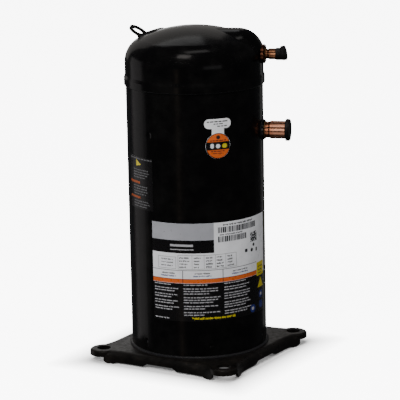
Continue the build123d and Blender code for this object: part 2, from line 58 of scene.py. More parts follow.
# ---- places taken from the frame ----
MOUNTS = {m["name"]: m for m in frame["record"]["mounts"]}
STUB = Vector(MOUNTS["suction_socket"]["axis"])            # both stubs point this way
SUCTION_Z = MOUNTS["suction_socket"]["pos_m"][2]
DISCHARGE_Z = MOUNTS["discharge_socket"]["pos_m"][2]
SHELL_R = 92.5 * MM            # outer radius of the shell
FILM_R = max(math.hypot(*(NODES["nameplate_label"].matrix_world @ v.co).xy)
             for v in NODES["nameplate_label"].data.vertices)   # outer face of the label films
FLOOR_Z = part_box("base_plate")[0][2]
SHELL_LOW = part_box("main_shell")[0][2]
CAP_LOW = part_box("top_cap")[0][2]
EYE_ANGLE = math.radians(-173.6)   # the lifting eye stands on this side of the dome


# ---- node material helpers ----
class Shader:
    """A Principled material that grows node by node."""

    def __init__(self, name, color, rough, metal=0.0, **sockets):
        self.mat = bpy.data.materials.new(name)
        self.mat.use_nodes = True
        self.tree = self.mat.node_tree
        self.bsdf = self.tree.nodes["Principled BSDF"]
        self.mat.diffuse_color = (*color, 1)
        self.put("Base Color", (*color, 1))
        self.put("Roughness", rough)
        self.put("Metallic", metal)
        for key, value in sockets.items():
            self.put(key.replace("_", " "), value)
        self.coords = self.tree.nodes.new("ShaderNodeTexCoord").outputs["Object"]
        self.normal = None

    def put(self, socket, value):
        self.bsdf.inputs[socket].default_value = value

    def node(self, kind, **values):
        made = self.tree.nodes.new("ShaderNode" + kind)
        for key, value in values.items():
            if hasattr(made, key):
                setattr(made, key, value)
            else:
                made.inputs[key.replace("_", " ")].default_value = value
        return made

    def link(self, out, into):
        self.tree.links.new(out, into)
        return into

    def stretched(self, scale, turn=(0, 0, 0)):
        """Object coordinates scaled by a different factor along each axis, after a turn."""
        spin = self.node("Mapping")
        spin.inputs["Rotation"].default_value = turn
        self.link(self.coords, spin.inputs["Vector"])
        size = self.node("Mapping")
        size.inputs["Scale"].default_value = scale
        self.link(spin.outputs[0], size.inputs["Vector"])
        return size.outputs[0]

    def noise(self, scale, detail=3.0, rough=0.5, coords=None):
        made = self.node("TexNoise", Scale=scale, Detail=detail, Roughness=rough)
        self.link(coords or self.coords, made.inputs["Vector"])
        return made.outputs["Fac"]

    def between(self, fac, low, high, at=(0.3, 0.7)):
        """Map a factor to a range of numbers."""
        made = self.node("MapRange")
        for socket, value in zip(("From Min", "From Max", "To Min", "To Max"), (*at, low, high)):
            made.inputs[socket].default_value = value
        self.link(fac, made.inputs["Value"])
        return made.outputs["Result"]

    def colors(self, fac, *stops):
        """Base colour from a ramp of (place, colour) stops."""
        ramp = self.node("ValToRGB")
        elements = ramp.color_ramp.elements
        while len(elements) < len(stops):
            elements.new(0.5)
        for element, (place, color) in zip(elements, stops):
            element.position = place
            element.color = (*color, 1)
        self.link(fac, ramp.inputs["Fac"])
        self.link(ramp.outputs["Color"], self.bsdf.inputs["Base Color"])
        return self

    def roughness(self, fac, low, high, at=(0.3, 0.7)):
        self.link(self.between(fac, low, high, at), self.bsdf.inputs["Roughness"])
        return self

    def bump(self, fac, depth, strength=1.0):
        """Add relief of that depth in metres; several reliefs stack."""
        made = self.node("Bump", Strength=strength, Distance=depth)
        self.link(fac, made.inputs["Height"])
        if self.normal:
            self.link(self.normal, made.inputs["Normal"])
        self.normal = made.outputs["Normal"]
        self.link(self.normal, self.bsdf.inputs["Normal"])
        return self

    def axial(self, axis):
        """Distance along an axis, in metres."""
        dot = self.node("VectorMath", operation="DOT_PRODUCT")
        dot.inputs[1].default_value = axis
        self.link(self.coords, dot.inputs[0])
        return dot.outputs["Value"]


# ---- materials ----
def enamel(name, color, rough, peel=0.00003, dust=(0.005, 0.0048, 0.0046)):
    """Sprayed enamel: orange peel, slow waviness, faint dust."""
    m = Shader(name, color, rough, IOR=1.4)
    m.colors(m.noise(38, 5, 0.62), (0.45, color), (0.8, dust))
    m.roughness(m.noise(120, 4, 0.6), rough * 0.85, rough * 1.3)
    m.bump(m.noise(14, 2, 0.4), 0.0012, 0.12)
    m.bump(m.noise(900, 2, 0.5), peel, 0.5)
    return m.mat


def base_enamel():
    """Dipped satin enamel on the pressed base: dust on it and rubbed lighter here and there."""
    m = Shader("base_paint", (0.012, 0.011, 0.01), 0.36, IOR=1.5)
    m.colors(m.noise(60, 6, 0.7), (0.35, (0.0022, 0.002, 0.0019)), (0.6, (0.006, 0.0052, 0.0046)),
             (0.8, (0.024, 0.0195, 0.016)))
    m.roughness(m.noise(180, 4, 0.6), 0.26, 0.5)
    m.bump(m.noise(25, 3, 0.5), 0.001, 0.15)
    m.bump(m.noise(700, 3, 0.5), 0.00006, 0.5)
    return m.mat


def drawn_copper(name, bright, dull, tint):
    """Copper tube drawn along the stub's axis, heat-tinted towards the shell."""
    m = Shader(name, bright, 0.24, 1.0)
    angle = math.atan2(STUB.y, STUB.x)
    lines = m.noise(1, 3, 0.6, m.stretched((60, 1400, 1400), (0, 0, -angle)))
    heat = m.between(m.axial(STUB), 0.0, 1.0, (0.094, 0.116))
    blotch = m.noise(160, 4, 0.6)
    mix = m.node("Math", operation="MULTIPLY_ADD")
    m.link(blotch, mix.inputs[0])
    mix.inputs[1].default_value = 0.45
    m.link(heat, mix.inputs[2])
    m.colors(mix.outputs[0], (0.15, tint), (0.6, dull), (1.0, bright))
    m.roughness(lines, 0.17, 0.36)
    m.bump(lines, 0.00002, 0.4)
    return m.mat


def moulded(name, color, rough, grain=1500.0, depth=0.00004):
    """Moulded rubber or plastic with a fine grain and a little bloom."""
    m = Shader(name, color, rough, IOR=1.5)
    light = tuple(c * 1.9 + 0.004 for c in color)
    m.colors(m.noise(90, 5, 0.65), (0.4, color), (0.8, light))
    m.roughness(m.noise(200, 3, 0.5), rough * 0.85, min(1.0, rough * 1.2))
    m.bump(m.noise(grain, 2, 0.6), depth, 0.7)
    return m.mat


def worked_metal(name, color, rough, stretch=(900, 900, 40), metal=1.0, dark=0.55, bump=0.00001):
    """Ground, rolled or brushed metal: fine marks drawn out along one axis and slow stains."""
    m = Shader(name, color, rough, metal)
    marks = m.noise(1, 4, 0.65, m.stretched(stretch))
    m.colors(m.noise(45, 5, 0.6), (0.3, tuple(c * dark for c in color)), (0.62, color))
    m.roughness(marks, rough * 0.7, min(1.0, rough * 1.5))
    m.bump(marks, bump, 0.6)
    return m.mat


def machined_iron():
    """Grey iron: turned rings on its faces and the speckle of graphite."""
    m = Shader("machined_iron", (0.36, 0.36, 0.37), 0.38, 0.9)
    rings = m.node("TexWave", wave_type="RINGS", rings_direction="Z", Scale=320.0, Distortion=1.2, Detail=2.0)
    m.link(m.coords, rings.inputs["Vector"])
    speck = m.noise(2200, 3, 0.7)
    m.colors(speck, (0.35, (0.2, 0.2, 0.21)), (0.55, (0.4, 0.4, 0.41)))
    m.roughness(m.noise(70, 4, 0.6), 0.28, 0.5)
    m.bump(rings.outputs["Fac"], 0.00002, 0.5)
    return m.mat


def laminations():
    """Stacked electrical steel: half-millimetre sheets with a blue-grey oxide."""
    m = Shader("laminations", (0.2, 0.22, 0.26), 0.45, 0.8)
    sheets = m.node("TexWave", bands_direction="Z", Scale=320.0, Distortion=0.3, Detail=1.0)
    m.link(m.coords, sheets.inputs["Vector"])
    m.colors(sheets.outputs["Fac"], (0.1, (0.06, 0.065, 0.08)), (0.6, (0.24, 0.26, 0.31)))
    m.bump(sheets.outputs["Fac"], 0.00012, 0.8)
    return m.mat


def winding_copper():
    """Varnished bundle of enamelled wires laid round the core."""
    m = Shader("copper_winding", (0.5, 0.16, 0.06), 0.3, 0.7, Coat_Weight=0.6, Coat_Roughness=0.15)
    wires = m.noise(1, 2, 0.5, m.stretched((120, 120, 1500)))
    m.colors(wires, (0.35, (0.16, 0.045, 0.016)), (0.6, (0.62, 0.22, 0.08)))
    m.bump(wires, 0.0006, 0.8)
    return m.mat


def sleeving():
    """Braided glass sleeving on the motor leads."""
    m = Shader("lead_insulation", (0.7, 0.72, 0.68), 0.75)
    braid = m.node("TexChecker", Scale=900.0)
    braid.inputs["Color1"].default_value = (0.78, 0.78, 0.74, 1)
    braid.inputs["Color2"].default_value = (0.42, 0.43, 0.4, 1)
    m.link(m.stretched((1, 1, 1), (0.6, 0.6, 0.6)), braid.inputs["Vector"])
    m.link(braid.outputs["Color"], m.bsdf.inputs["Base Color"])
    m.bump(braid.outputs["Fac"], 0.0001, 0.6)
    return m.mat


def film(name, color, rough=0.3, metal=0.0, vary=0.12):
    """Printed film: a slightly uneven ink under a clear face."""
    m = Shader(name, color, rough, metal, IOR=1.48, Coat_Weight=0.25, Coat_Roughness=0.2)
    m.colors(m.noise(55, 4, 0.6), (0.35, tuple(c * (1 - vary) for c in color)), (0.65, color))
    m.roughness(m.noise(300, 3, 0.5), rough * 0.8, rough * 1.3)
    m.bump(m.noise(60, 3, 0.5), 0.0002, 0.15)
    return m.mat


def weld_metal(name, color, rough, metal=0.0):
    """A weld bead: scale and ripple."""
    m = Shader(name, color, rough, metal)
    m.colors(m.noise(260, 5, 0.7), (0.35, tuple(c * 0.6 for c in color)), (0.7, color))
    m.bump(m.noise(420, 3, 0.6), 0.0003, 0.6)
    return m.mat


def glass_bead():
    """Dark green glass that seals the terminal pins."""
    m = Shader("terminal_glass", (0.05, 0.12, 0.09), 0.12, Transmission_Weight=0.4, IOR=1.5)
    m.bump(m.noise(500, 2, 0.5), 0.0001, 0.3)
    m.colors(m.noise(220, 3, 0.6), (0.35, (0.02, 0.06, 0.045)), (0.7, (0.08, 0.17, 0.13)))
    return m.mat


BLACK = (0.0014, 0.0013, 0.0014)
SLOTS = {
    "shell_paint": enamel("shell_paint", BLACK, 0.2),
    "cap_paint": enamel("cap_paint", BLACK, 0.16),
    "base_paint": base_enamel(),
    "copper": drawn_copper("copper", (0.85, 0.4, 0.25), (0.62, 0.24, 0.13), (0.11, 0.035, 0.02)),
    "copper_dark": drawn_copper("copper_dark", (0.5, 0.23, 0.12), (0.24, 0.1, 0.05), (0.08, 0.03, 0.018)),
    "plug_rubber": moulded("plug_rubber", (0.0035, 0.0034, 0.0034), 0.55),
    "cover_plastic": moulded("cover_plastic", (0.012, 0.012, 0.013), 0.42, 1900.0, 0.00006),
    "plated_steel": worked_metal("plated_steel", (0.62, 0.6, 0.56), 0.25),
    "terminal_glass": glass_bead(),
    "zinc_screw": worked_metal("zinc_screw", (0.66, 0.67, 0.68), 0.28, (600, 600, 600)),
    "label_film": film("label_film", (0.78, 0.79, 0.82)),
    "tag_film": film("tag_film", (0.82, 0.83, 0.85)),
    "raw_steel": worked_metal("raw_steel", (0.4, 0.4, 0.41), 0.36, (300, 300, 60)),
    "machined_iron": machined_iron(),
    "bearing_bronze": worked_metal("bearing_bronze", (0.56, 0.4, 0.2), 0.32, (60, 60, 900)),
    "cast_aluminium": worked_metal("cast_aluminium", (0.7, 0.71, 0.73), 0.42, (500, 500, 500), bump=0.00008),
    "valve_brass": worked_metal("valve_brass", (0.75, 0.55, 0.22), 0.25, (60, 60, 900)),
    "spring_steel": worked_metal("spring_steel", (0.5, 0.52, 0.56), 0.2, (800, 60, 60)),
    "magnet": worked_metal("magnet", (0.12, 0.12, 0.13), 0.5, (600, 600, 600), 0.6),
    "ground_steel": worked_metal("ground_steel", (0.58, 0.58, 0.6), 0.2, (50, 50, 1200)),
    "laminations": laminations(),
    "copper_winding": winding_copper(),
    "lead_insulation": sleeving(),
}
INKS = {
    "ink_black": film("ink_black", (0.0045, 0.0042, 0.0045), 0.28),
    "ink_silver": film("ink_silver", (0.47, 0.48, 0.52), 0.34, 0.3),
    "ink_white": film("ink_white", (0.7, 0.71, 0.74), 0.32),
    "ink_grey": film("ink_grey", (0.4, 0.4, 0.42), 0.35),
    "ink_dark": film("ink_dark", (0.015, 0.015, 0.018), 0.35),
    "ink_orange": film("ink_orange", (0.6, 0.11, 0.018), 0.3),
    "ink_yellow": film("ink_yellow", (0.55, 0.45, 0.02), 0.3),
    "ink_rust": film("ink_rust", (0.3, 0.06, 0.012), 0.34),
    "ink_dim": film("ink_dim", (0.11, 0.11, 0.115), 0.36),
    "ink_blue": film("ink_blue", (0.02, 0.028, 0.15), 0.3),
}


def dress_nodes():
    """Every CAD node takes the material of its slot."""
    slot_of = {s["node"]: s["material_slot"] for s in frame["record"]["subparts"]}
    for node, obj in NODES.items():
        material = SLOTS[slot_of[node]]
        for place in obj.material_slots:
            place.material = material


# ---- mesh helpers ----
def add_mesh(name, verts, faces, material, smooth=True):
    """A piece of the housing's own, with its faces turned outwards."""
    mesh = bpy.data.meshes.new(name)
    mesh.from_pydata([tuple(v) for v in verts], [], faces)
    mesh.validate()
    bm = bmesh.new()
    bm.from_mesh(mesh)
    bmesh.ops.recalc_face_normals(bm, faces=bm.faces)
    bm.to_mesh(mesh)
    bm.free()
    mesh.materials.append(material)
    if smooth:
        mesh.shade_smooth()
    obj = bpy.data.objects.new(name, mesh)
    bpy.context.scene.collection.objects.link(obj)
    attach(obj, "housing")


def on_shell(s, z, radius):
    """A point s millimetres round the film from angle 0 and z millimetres up."""
    angle = s * MM / FILM_R
    return Vector((radius * math.cos(angle), radius * math.sin(angle), z * MM))


def rect(s0, s1, z0, z1, corner=0.0):
    """Outline of a rectangle, with round corners if asked."""
    if corner <= 0:
        return [(s0, z0), (s1, z0), (s1, z1), (s0, z1)]
    points = []
    for cx, cz, start in ((s1 - corner, z0 + corner, 270), (s1 - corner, z1 - corner, 0),
                          (s0 + corner, z1 - corner, 90), (s0 + corner, z0 + corner, 180)):
        for step in range(7):
            a = math.radians(start + 15 * step)
            points.append((cx + corner * math.cos(a), cz + corner * math.sin(a)))
    return points


def arc(s, z, radius, start=0, end=360, steps=40):
    """Outline of a disc, or of the part of it that an arc and its chord cut off."""
    count = steps + (end - start < 360)
    turn = [math.radians(start + (end - start) * i / steps) for i in range(count)]
    return [(s + radius * math.cos(a), z + radius * math.sin(a)) for a in turn]


STRIP = 3.0                    # print bends in flat strips this wide, in millimetres
INK_STEP = 0.025 * MM          # each layer of ink stands this much further out
INK_SINK = 0.02 * MM           # the back of the ink lies this deep in the film


def ink(name, shapes, color, layer=1):
    """Flat shapes printed on a film: cut into narrow strips, wrapped round the shell and closed behind."""
    bm = bmesh.new()
    for shape in shapes:
        bm.faces.new([bm.verts.new((s, 0, z)) for s, z in shape])
    low = min(s for shape in shapes for s, z in shape)
    high = max(s for shape in shapes for s, z in shape)
    for i in range(math.ceil(low / STRIP), math.ceil(high / STRIP)):
        bmesh.ops.bisect_plane(bm, geom=bm.verts[:] + bm.edges[:] + bm.faces[:],
                               plane_co=(i * STRIP, 0, 0), plane_no=(1, 0, 0))
    bm.verts.index_update()
    flat = [v.co.copy() for v in bm.verts]
    count = len(flat)
    verts = [on_shell(co.x, co.z, FILM_R + layer * INK_STEP) for co in flat]
    verts += [on_shell(co.x, co.z, FILM_R - INK_SINK) for co in flat]
    faces = []
    for face in bm.faces:
        ring = [v.index for v in face.verts]
        faces.append(ring)
        faces.append([count + i for i in reversed(ring)])
    for edge in bm.edges:
        if len(edge.link_faces) == 1:
            a, b = (v.index for v in edge.verts)
            faces.append([a, b, count + b, count + a])
    bm.free()
    add_mesh(name, verts, faces, INKS[color], smooth=False)


# ---- welds on the housing ----
def loop_faces(segments, sides):
    """Faces of a closed ring of that many segments, each with that many sides."""
    faces = []
    for i in range(segments):
        n = (i + 1) % segments
        for j in range(sides):
            k = (j + 1) % sides
            faces.append([i * sides + j, n * sides + j, n * sides + k, i * sides + k])
    return faces


def swept_ring(name, radius, z, minor, material, squash, ripple, waves):
    """A bead all round the shell, with an uneven surface."""
    rng = random.Random(name)
    phases = [rng.uniform(0, math.tau) for _ in range(2)]
    slow = math.floor(waves * 0.37)
    segments, sides = 220, 12
    verts = []
    for i in range(segments):
        a = math.tau * i / segments
        lump = math.sin(waves * a + phases[0]) + 0.5 * math.sin(slow * a + phases[1])
        size = minor * (1 + ripple * lump)
        for j in range(sides):
            b = math.tau * j / sides
            r = radius + size * math.cos(b)
            verts.append((r * math.cos(a), r * math.sin(a), z + size * squash * math.sin(b)))
    add_mesh(name, verts, loop_faces(segments, sides), material)


def saddle(radius, cosine):
    """How far out the shell's surface lies where a round fitting meets it."""
    return math.sqrt(SHELL_R ** 2 - (radius * cosine) ** 2)


def stub_ring(name, along, z, radius, minor, material):
    """A fillet round a stub, at a place along it, or against the shell where along is None."""
    across = Vector((-STUB.y, STUB.x, 0))
    up = Vector((0, 0, 1))
    phase = random.Random(name).uniform(0, math.tau)
    segments, sides = 72, 10
    verts = []
    for i in range(segments):
        a = math.tau * i / segments
        out = across * math.cos(a) + up * math.sin(a)
        size = minor * (1 + 0.08 * math.sin(17 * a + phase))
        sink = saddle(radius, math.cos(a)) if along is None else along
        for j in range(sides):
            b = math.tau * j / sides
            p = STUB * (sink + size * math.sin(b)) + out * (radius + size * math.cos(b))
            verts.append(p + up * z)
    add_mesh(name, verts, loop_faces(segments, sides), material)


def bead(name, path, normals, minor, material):
    """A weld bead along a row of points, closed at both ends, with ripples."""
    sides = 10
    verts, faces = [], []
    last = len(path) - 1
    for i, point in enumerate(path):
        forward = (path[min(i + 1, last)] - path[max(i - 1, 0)]).normalized()
        up = (normals[i] - forward * normals[i].dot(forward)).normalized()
        across = forward.cross(up)
        end = math.sin(math.pi * min(1.0, (min(i, last - i) + 0.6) / 5) / 2)
        size = minor * end * (1 + 0.12 * math.sin(i * 1.9))
        for j in range(sides):
            b = math.tau * j / sides
            verts.append(point + (up * math.sin(b) * 0.8 + across * math.cos(b)) * size)
    for i in range(last):
        for j in range(sides):
            k = (j + 1) % sides
            faces.append([i * sides + j, i * sides + k, (i + 1) * sides + k, (i + 1) * sides + j])
    faces.append(list(reversed(range(sides))))
    faces.append([last * sides + j for j in range(sides)])
    add_mesh(name, verts, faces, material)


STRAP_START = 52.0             # the eye's welds start this far from the dome's axis, in millimetres
STRAP_STEP = 0.75
STRAP_HALF = 12.9 * MM


def add_eye_welds(material):
    """Beads down both sides of the lifting eye's strap, laid on the dome."""
    cap = NODES["top_cap"]
    inverse = cap.matrix_world.inverted()
    out = Vector((math.cos(EYE_ANGLE), math.sin(EYE_ANGLE), 0))
    side = Vector((-math.sin(EYE_ANGLE), math.cos(EYE_ANGLE), 0))

    def drop(along, across):
        """The dome's surface under a point, and its normal there."""
        start = out * along + side * across + Vector((0, 0, 0.6))
        down = inverse.to_3x3() @ Vector((0, 0, -1))
        _, place, normal, _ = cap.ray_cast(inverse @ start, down)
        return cap.matrix_world @ place, (cap.matrix_world.to_3x3() @ normal).normalized()

    for name, sign in (("eye_weld_left", -1), ("eye_weld_right", 1)):
        found = [drop((STRAP_START + STRAP_STEP * i) * MM, sign * STRAP_HALF) for i in range(30)]
        bead(name, [p for p, n in found], [n for p, n in found], 1.3 * MM, material)


SEAM_ANGLE = math.radians(-150)
SEAM_ROWS = 150
SEAM_DEPTH = 0.4 * MM
SEAM_PROFILE = ((-1.0, -0.05), (-0.6, 0.22), (0.0, 0.38), (0.6, 0.22), (1.0, -0.05))   # share of half, lift


def add_seam_weld(material):
    """The long seam of the rolled shell: a low ridge with a closed back inside the wall."""
    rng = random.Random(4)
    low, high = SHELL_LOW + 3 * MM, CAP_LOW - 1 * MM
    heights = [low + (high - low) * i / SEAM_ROWS for i in range(SEAM_ROWS + 1)]
    wide = len(SEAM_PROFILE)
    seam, faces = [], []
    for i, z in enumerate(heights):
        half = (1.7 + 0.25 * math.sin(i * 0.9) + rng.uniform(-0.1, 0.1)) * MM
        for side, lift in SEAM_PROFILE:
            r = SHELL_R + lift * MM
            a = SEAM_ANGLE + side * half / SHELL_R
            seam.append((r * math.cos(a), r * math.sin(a), z))
        if i:
            start = (i - 1) * wide
            for j in range(wide - 1):
                faces.append([start + j, start + j + 1, start + j + wide + 1, start + j + wide])
    back = len(seam)
    r = SHELL_R - SEAM_DEPTH
    for i, z in enumerate(heights):
        seam.append((r * math.cos(SEAM_ANGLE), r * math.sin(SEAM_ANGLE), z))
        if i:
            start = (i - 1) * wide
            end = start + wide - 1
            faces.append([start, start + wide, back + i, back + i - 1])
            faces.append([end, back + i - 1, back + i, end + wide])
    last = SEAM_ROWS * wide
    faces.append([*range(wide), back])
    faces.append([last, back + SEAM_ROWS, *range(last + wide - 1, last, -1)])
    add_mesh("seam_weld", seam, faces, material)


def add_welds():
    painted = weld_metal("weld_painted", (0.012, 0.012, 0.013), 0.35)
    braze = weld_metal("braze", (0.55, 0.32, 0.12), 0.35, 0.9)
    swept_ring("cap_weld", SHELL_R + 0.9 * MM, CAP_LOW - 0.3 * MM, 1.3 * MM, painted,
               squash=0.9, ripple=0.08, waves=90)
    swept_ring("base_weld", SHELL_R + 0.6 * MM, SHELL_LOW + 0.5 * MM, 2.4 * MM, painted,
               squash=1.0, ripple=0.07, waves=120)
    stub_ring("suction_spud_weld", None, SUCTION_Z, 13.9 * MM, 1.3 * MM, painted)
    stub_ring("suction_braze", 96.2 * MM, SUCTION_Z, 11.3 * MM, 0.8 * MM, braze)
    stub_ring("discharge_braze", 97.8 * MM, DISCHARGE_Z, 6.9 * MM, 0.8 * MM, braze)
    add_eye_welds(painted)
    add_seam_weld(painted)


def add_relief_coil():
    """The relief spring again: a copy of its mesh, attached to the housing, with the CAD spring hidden."""
    node = NODES["relief_spring"]
    coil = bpy.data.objects.new("relief_coil", node.data.copy())
    bpy.context.scene.collection.objects.link(coil)
    coil.matrix_world = node.matrix_world.copy()
    bpy.context.view_layer.update()
    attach(coil, "housing")
    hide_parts("relief_spring")
    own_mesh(coil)


# ---- printing on the labels: places in millimetres, round the shell and up ----
DEG = math.radians(1) * FILM_R / MM    # millimetres per degree


def words(rng, s0, s1, z, height, last=1.0):
    """One line of filler print: short bars with gaps, no letters."""
    bars = []
    s = s0
    end = s0 + (s1 - s0) * last
    while s < end - 2.0:
        width = min(rng.uniform(2.2, 7.5), end - s)
        bars.append(rect(s, s + width, z, z + height))
        s += width + 1.1
    return bars


def paragraph(rng, s0, s1, top, rows, pitch=3.5, height=1.25, gap=1.6):
    """Blocks of filler lines: rows gives how many lines each block has."""
    bars = []
    z = top
    for lines in rows:
        for i in range(lines):
            last = rng.uniform(0.55, 0.85) if i == lines - 1 else rng.uniform(0.9, 1.0)
            bars += words(rng, s0, s1, z - height, height, last)
            z -= pitch
        z -= gap
    return bars


def strokes(rng, s0, s1, z, height):
    """A line of narrow upright marks in groups, as close print looks from afar."""
    bars = []
    s = s0
    while s < s1 - 1.5:
        for _ in range(rng.randint(3, 7)):
            if s > s1 - 1.0:
                break
            width = rng.uniform(0.9, 1.5)
            low = rng.choice((0.0, 0.0, 0.0, 0.3)) * height
            top = rng.choice((0.75, 0.8, 1.0)) * height
            bars.append(rect(s, s + width, z + low, z + top))
            s += width + 0.35
        s += 0.8
    return bars


PLATE_LEFT, PLATE_RIGHT = -99 * DEG, 14 * DEG
TITLE_END = -45 * DEG                  # right end of the silver and black title panels
COLUMN_1, COLUMN_2, COLUMN_3 = -71.5 * DEG, -37.7 * DEG, -0.6 * DEG      # right ends of the columns
PLATE_TOP, TITLE_TOP, TITLE_LOW = 190, 167, 149.4
BAND_TOP, BAND_LOW = 114, 108.3        # the orange band
TEXT_TOP, TEXT_FIRST, TEXT_LOW = 108, 106.4, 55.4


def add_plate_grounds():
    ink("print_silver_panel", [rect(PLATE_LEFT, TITLE_END, TITLE_TOP, PLATE_TOP)], "ink_silver")
    title = rect(PLATE_LEFT - 0.1, TITLE_END, TITLE_LOW, TITLE_TOP)
    text = rect(PLATE_LEFT - 0.1, PLATE_RIGHT + 0.1, TEXT_LOW, TEXT_TOP)
    ink("print_black_panels", [title, text], "ink_black")
    ink("print_orange_band", [rect(PLATE_LEFT, COLUMN_3, BAND_LOW, BAND_TOP)], "ink_orange")


def add_plate_columns(rng):
    """The title's two bars and three columns of filler lines on the black ground."""
    lines = [rect(-82 * DEG, -62.5 * DEG, 158.6, 161.6), rect(-82 * DEG, -62.0 * DEG, 153.8, 155.0)]
    for s0, s1, rows in ((-97.6, -74, (1, 2, 2, 2, 2)), (-71, -39.5, (1, 3, 3, 2, 2)),
                         (-36.8, -8.5, (1, 2, 3, 3, 2))):
        lines += paragraph(rng, s0 * DEG, s1 * DEG, TEXT_FIRST, rows)
    ink("print_white_lines", lines, "ink_grey", 2)
    ink("print_yellow_rule", strokes(rng, -64 * DEG, -26 * DEG, 58.2, 3.0), "ink_yellow", 2)
    ink("print_small_rule", words(rng, -97.8 * DEG, -84 * DEG, 58.4, 1.2), "ink_grey", 2)


def add_plate_bars(rng):
    """Two rows of upright bars and a square of blocks, all at random."""
    bars = []
    for z0, z1, s_end in ((175.6, 183.6, -3.2), (163.0, 171.0, -13.9)):
        s = -41.5 * DEG
        while s < s_end * DEG:
            width = rng.choice((0.8, 1.2, 1.6, 2.2))
            bars.append(rect(s, s + width, z0, z1))
            s += width + rng.choice((0.5, 0.7, 1.0))
    cell = 1.25
    for i in range(12):
        for j in range(11):
            if rng.random() < 0.66:
                s = -9 * DEG + i * cell
                z = 155.5 + j * cell
                bars.append(rect(s, s + cell, z, z + cell))
    ink("print_bars", bars, "ink_dark")


FRAME_LOW, FRAME_TOP = 127.8, 146.6    # the ruled table


def table_lines():
    """The two ruled frames of the table and its uprights."""
    lines = []
    for s0, s1, z0, z1 in ((-93.3, -77.2, 128.2, 144.0), (-75.3, -25.0, FRAME_LOW, FRAME_TOP)):
        for z in (z0, z1):
            lines.append(rect(s0 * DEG, s1 * DEG, z - 0.2, z + 0.2))
        for s in (s0, s1):
            lines.append(rect(s * DEG - 0.2, s * DEG + 0.2, z0, z1))
    for s in (-63.5, -53.5, -44.0, -35.0):
        lines.append(rect(s * DEG - 0.15, s * DEG + 0.15, FRAME_LOW, FRAME_TOP))
    return lines


def add_plate_table(rng):
    """Dark filler print on the white ground, and the blue second line of each column's heading."""
    marks = strokes(rng, -37 * DEG, -6 * DEG, 185.0, 2.6) + strokes(rng, -40 * DEG, -17 * DEG, 172.2, 2.0)
    marks += [rect(-15.8 * DEG, -12.6 * DEG, 143.5, 148.0, 1.0), arc(-7.2 * DEG, 144.6, 2.6),
              arc(-4.6 * DEG, 151.2, 2.3), rect(-1.6 * DEG, 0.6 * DEG, 141.0, 146.2, 0.8)]
    marks += table_lines()
    for z in (129.4, 133.6, 137.8, 142.0):
        for s0, s1 in ((-74.3, -65), (-62, -55), (-52, -45.5), (-43, -36.5), (-33.5, -27)):
            end = s0 + (s1 - s0) * rng.uniform(0.6, 1.0)
            marks += strokes(rng, s0 * DEG, end * DEG, z, 2.2)
    for z in (139.6, 135.4, 131.2):
        marks += strokes(rng, -90.5 * DEG, -79.5 * DEG, z, 1.8)
    second = []
    for s0, s1 in ((-90, -78), (-61.5, -48), (-28.5, -12.5)):
        marks += strokes(rng, s0 * DEG, s1 * DEG, 120.6, 2.1)
        second += strokes(rng, (s0 - 1) * DEG, (s1 + 1) * DEG, 116.9, 2.1)
    ink("print_marks", marks, "ink_dark")
    ink("print_blue_line", second, "ink_blue")
    rules = [rect(PLATE_LEFT, COLUMN_3, 125.5, 126.2), rect(PLATE_LEFT, COLUMN_3, 113.7, 114.3)]
    rules += [rect(s - 0.45, s + 0.45, BAND_LOW, 125.8) for s in (COLUMN_1, COLUMN_2)]
    ink("print_rules", rules, "ink_dark", 2)


def add_plate_shapes(rng):
    """Plain coloured shapes down the right edge."""
    ink("print_yellow_box", [rect(-0.4 * DEG, 12.2 * DEG, 105, 124, 1.2)], "ink_yellow", 2)
    lines = []
    for z, height in ((117, 1.6), (112, 1.6), (108, 1.2)):
        lines += words(rng, 2 * DEG, 10 * DEG, z, height)
    ink("print_box_lines", lines, "ink_dark", 3)
    corners = ((6.2, 102.5), (11.4, 88.5), (1.0, 88.5))
    ink("print_yellow_mark", [[(s * DEG, z) for s, z in corners]], "ink_yellow", 2)
    discs = [arc(s * DEG, z, 5.6) for s, z in ((6.4, 78.5), (6.4, 64.4), (-6.6, 62.6))]
    ink("print_discs", discs, "ink_blue", 2)
    dots = [rect(-8.2 * DEG, -5.0 * DEG, 60.6, 64.8, 1.6), rect(5.0 * DEG, 7.8 * DEG, 76.6, 80.6, 1.5)]
    ink("print_disc_dots", dots, "ink_grey", 3)


def add_nameplate():
    rng = random.Random(11)
    add_plate_grounds()
    add_plate_columns(rng)
    add_plate_bars(rng)
    add_plate_table(rng)
    add_plate_shapes(rng)


def add_side_label():
    rng = random.Random(23)
    left, right = -129.5 * DEG, -97.5 * DEG
    inner, end = left + 3, right - 5
    ink("side_print_ground", [rect(left - 0.2, right + 0.2, 202.9, 274.1)], "ink_black")
    lines = words(rng, left + 2, right - 1, 270.6, 1.5)
    for top, rows in ((257, (4,)), (234.5, (4,)), (214, (3,))):
        lines += paragraph(rng, inner + 8, end, top, rows)
    ink("side_print_lines", lines, "ink_dim", 2)
    bands = [rect(left + 1, left + 27, 237.5, 240.6), rect(left + 1, left + 27, 217.0, 220.0)]
    ink("side_print_bands", bands, "ink_rust", 2)
    mark = [(left + 19, 261), (left + 19, 270), (left + 30, 264)]
    ink("side_print_mark", [mark], "ink_yellow", 2)


TAG_CENTRE = -39.9 * DEG
TAG_Z = 293.85
TAG_RADIUS = 17.15
TAG_CAP_R = TAG_RADIUS - 0.9
TAG_BAND = 5.6                 # half the height of the dark band between the orange caps


def tag_words(rng, rows):
    """Filler lines placed from the tag's centre: rows of (left, right, height above it, thickness)."""
    lines = []
    for s0, s1, z, height in rows:
        lines += words(rng, TAG_CENTRE + s0, TAG_CENTRE + s1, z, height)
    return lines


